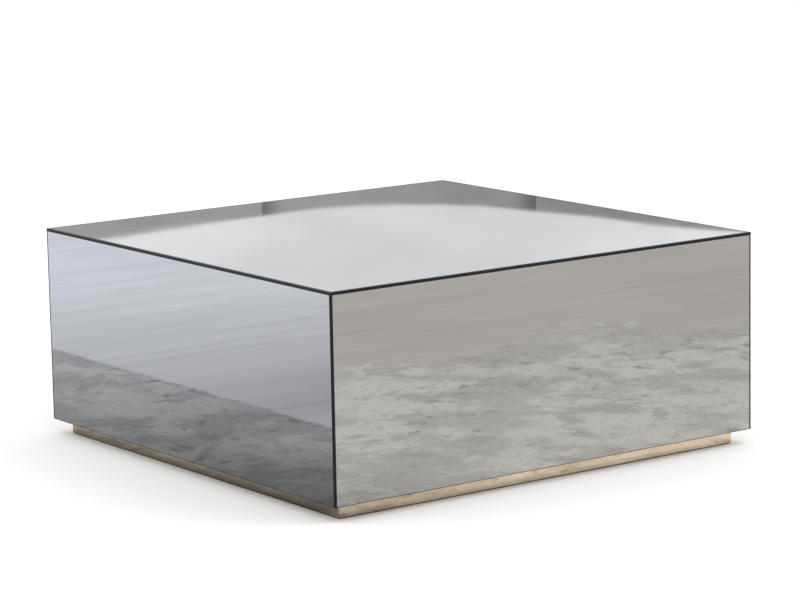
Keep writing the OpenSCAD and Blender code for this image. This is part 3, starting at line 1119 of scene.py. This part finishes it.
def front_shade(paint, x, out):
    """Shade on the floor close to the table's front left corner."""
    near_corner = paint.span(x, 0.68, 1.0, -cad_high.x - 0.02, 0.0)
    return paint.between(paint.span(out, 1.0, 0.0, 0.1, 0.45), 1.0, near_corner)


def left_strip_light(paint, out):
    """Painted light on the strip of floor that only the left trim mirrors: painted shade at the
    plinth, brighter beyond.
    """
    light = paint.span(out, 0.65, 2.15, -0.03, 0.04)
    return paint.between(paint.span(out, 1.0, 0.0, 0.035, 0.06), 1.0, light)


def front_strip_light(paint, x, out):
    """Painted light on the strip of floor that only the front trim mirrors, brighter to the
    right.
    """
    rightward = paint.span(x, 0.88, 1.15, -cad_high.x, cad_high.x / 2)
    light = paint.maths("MULTIPLY", paint.span(out, 0.85, 1.55, -0.02, 0.02), rightward)
    return paint.between(paint.span(out, 1.0, 0.0, 0.06, 0.088), 1.0, light)


def floor_light(paint, x, y, to_left):
    """Brightness of the mirrored floor: painted shade and strips of painted light near the
    table, painted light under it.
    """
    wide = paint.maths("ABSOLUTE", x)
    deep = paint.maths("ABSOLUTE", y)
    out = paint.maths("SUBTRACT", paint.maths("MAXIMUM", wide, deep), cad_high.x)
    turned = paint.maths("DIVIDE", to_left, paint.maths("ADD", wide, deep))
    shade = paint.between(paint.span(turned, 0.0, 1.0, -0.15, 0.15),
                          front_shade(paint, x, out), left_shade(paint, y, out))
    strip_light = paint.between(paint.span(to_left, 0.0, 1.0, -0.02, 0.02),
                          front_strip_light(paint, x, out), left_strip_light(paint, out))
    # Painted light on the floor under the table
    under_table_light = paint.span(out, 1.5, 0.0, -0.07, -0.04)
    return paint.maths("MAXIMUM", paint.maths("MULTIPLY", shade, strip_light), under_table_light)


def reflected_floor():
    """What the side panes mirror: a glowing card painted as a mottled rug on pale boards, under
    painted light and shade.
    """
    paint = Paint("reflected_floor")
    split = paint.add("ShaderNodeSeparateXYZ", {0: paint.spot})
    x, y = split.outputs[0], split.outputs[1]
    to_left = paint.maths("SUBTRACT", y, x)
    inside = rug_reach(paint, x, y)
    edge_shade = paint.span(inside, 0.14, 0.0, 0.0, 0.03)
    rug = paint.mix(edge_shade, rug_colour(paint, to_left), rgb(0.2, 0.2, 0.2))
    on_rug = paint.span(inside, 0.0, 1.0, -0.008, 0.012)
    tone = paint.mix(on_rug, board_colour(paint, to_left), rug)
    glow(paint, tone, floor_light(paint, x, y, to_left))
    only_in_reflections(stage_plane("reflected_floor", paint.material))


# Bays all round the room, and the direction of the middle of one
BAYS = 22
BAY_AT = math.radians(54.0)
# Height of the band in degrees above the horizon, and how much it rises between the bays
BAND_TOP = 9.25
BAND_SWING = 0.35
# A bay's wave is 1 in its middle and -1 between bays. At POST_PHASE the band darkens to
# POST_SHADE at once, and from there it fades back towards the middle.
POST_PHASE = 0.45
POST_SIDE = 0.01
POST_FADE = 0.17
POST_SHADE = 0.52


def band_light(paint, drift, bay):
    """Dark band low in the mirrored room, darker on the inner side of two posts in each bay."""
    fading = paint.span(bay, POST_SHADE, 1.0, POST_PHASE, POST_PHASE + POST_FADE)
    beyond = paint.span(bay, 0.0, 1.0, POST_PHASE - POST_SIDE, POST_PHASE)
    wall = paint.between(beyond, 1.0, fading)
    return paint.maths("MULTIPLY", paint.span(drift, 0.25, 0.34, 0.35, 0.65), wall)


def wall_light(paint, drift, bay, rise):
    """Pale room above the band, with soft folds, a little brighter higher up."""
    folds = paint.span(drift, -0.04, 0.04, 0.35, 0.65)
    higher = paint.span(rise, 0.0, 0.12, 9.0, 50.0)
    return paint.maths("ADD", paint.maths("ADD", higher, folds),
                       paint.span(bay, 0.82, 0.70, -1.0, 1.0))


def reflected_room():
    """What the top pane mirrors: a glowing dome painted as a pale room with a darker scalloped
    band low down.
    """
    paint = Paint("reflected_room")
    split = paint.add("ShaderNodeSeparateXYZ", {0: paint.spot})
    turn = paint.maths("ARCTAN2", split.outputs[1], split.outputs[0])
    bays = paint.maths("MULTIPLY", paint.maths("SUBTRACT", turn, BAY_AT), BAYS)
    bay = paint.maths("COSINE", bays)
    rise = paint.maths("MULTIPLY", split.outputs[2], math.degrees(1) / DOME_R)
    uneven = paint.span(paint.noise(0.25, detail=3.0), -0.06, 0.06, 0.3, 0.7)
    scallops = paint.maths("ADD", paint.maths("MULTIPLY", bay, -BAND_SWING), uneven)
    above = paint.maths("SUBTRACT", paint.maths("SUBTRACT", rise, scallops), BAND_TOP)
    drift = paint.noise(0.4, detail=5.0, stretch=(1.0, 1.0, 2.5))
    strength = paint.between(paint.span(above, 0.0, 1.0, -0.03, 0.04),
                             band_light(paint, drift, bay), wall_light(paint, drift, bay, rise))
    glow(paint, rgb(0.985, 0.99, 1.0), strength)
    bpy.ops.mesh.primitive_uv_sphere_add(segments=64, ring_count=32, radius=DOME_R)
    dome = bpy.context.object
    dome.name = "reflected_room"
    dome.data.materials.append(paint.material)
    only_in_reflections(dome)


def soft_light(name, place, aim, size, power):
    """Square area light, itself unseen by the camera and the mirrors."""
    light = bpy.data.lights.new(name, "AREA")
    light.size = size
    light.energy = power
    lamp = bpy.data.objects.new(name, light)
    lamp.location = place
    lamp.rotation_euler = (Vector(aim) - Vector(place)).to_track_quat("-Z", "Y").to_euler()
    lamp.visible_camera = False
    lamp.visible_glossy = False
    bpy.context.scene.collection.objects.link(lamp)


SURROUND_STRENGTH = 1.18


def white_surround():
    """Even white light from all around, and the plain background."""
    world = bpy.data.worlds.new("white_surround")
    world.use_nodes = True
    background = world.node_tree.nodes["Background"]
    background.inputs["Color"].default_value = rgb(1.0, 1.0, 1.0)
    background.inputs["Strength"].default_value = SURROUND_STRENGTH
    bpy.context.scene.world = world


CAMERA_PLACE = Vector((-3.298, -4.564, 1.263))
CAMERA_AIM = Vector((0.009, -0.006, 0.253))
CAMERA_ROLL = math.radians(-1.11)
CAMERA_LENS_MM = 143.7


def photo_camera():
    """Camera in the photograph's place, above the table and beyond its front left corner."""
    view = (CAMERA_AIM - CAMERA_PLACE).normalized()
    level_right = view.cross(UP).normalized()
    level_up = level_right.cross(view)
    right = level_right * math.cos(CAMERA_ROLL) + level_up * math.sin(CAMERA_ROLL)
    up = right.cross(view)
    camera = bpy.data.objects.new("camera", bpy.data.cameras.new("camera"))
    camera.data.lens = CAMERA_LENS_MM
    turn = Matrix((right, up, -view)).transposed().to_4x4()
    camera.matrix_world = Matrix.Translation(CAMERA_PLACE) @ turn
    bpy.context.scene.collection.objects.link(camera)
    bpy.context.scene.camera = camera


pale_floor()
reflected_floor()
reflected_room()
white_surround()
soft_light("key_light", (2.5, -3.0, 4.0), (0, 0, 0), 3.0, 70.0)
soft_light("fill_light", (-3.5, 1.5, 3.5), (0, 0, 0), 3.0, 40.0)
soft_light("under_light", (0, 0, 0.5 * MM), (0, 0, 1), 0.8, 1.6)
photo_camera()
bpy.context.scene.view_settings.view_transform = "Standard"
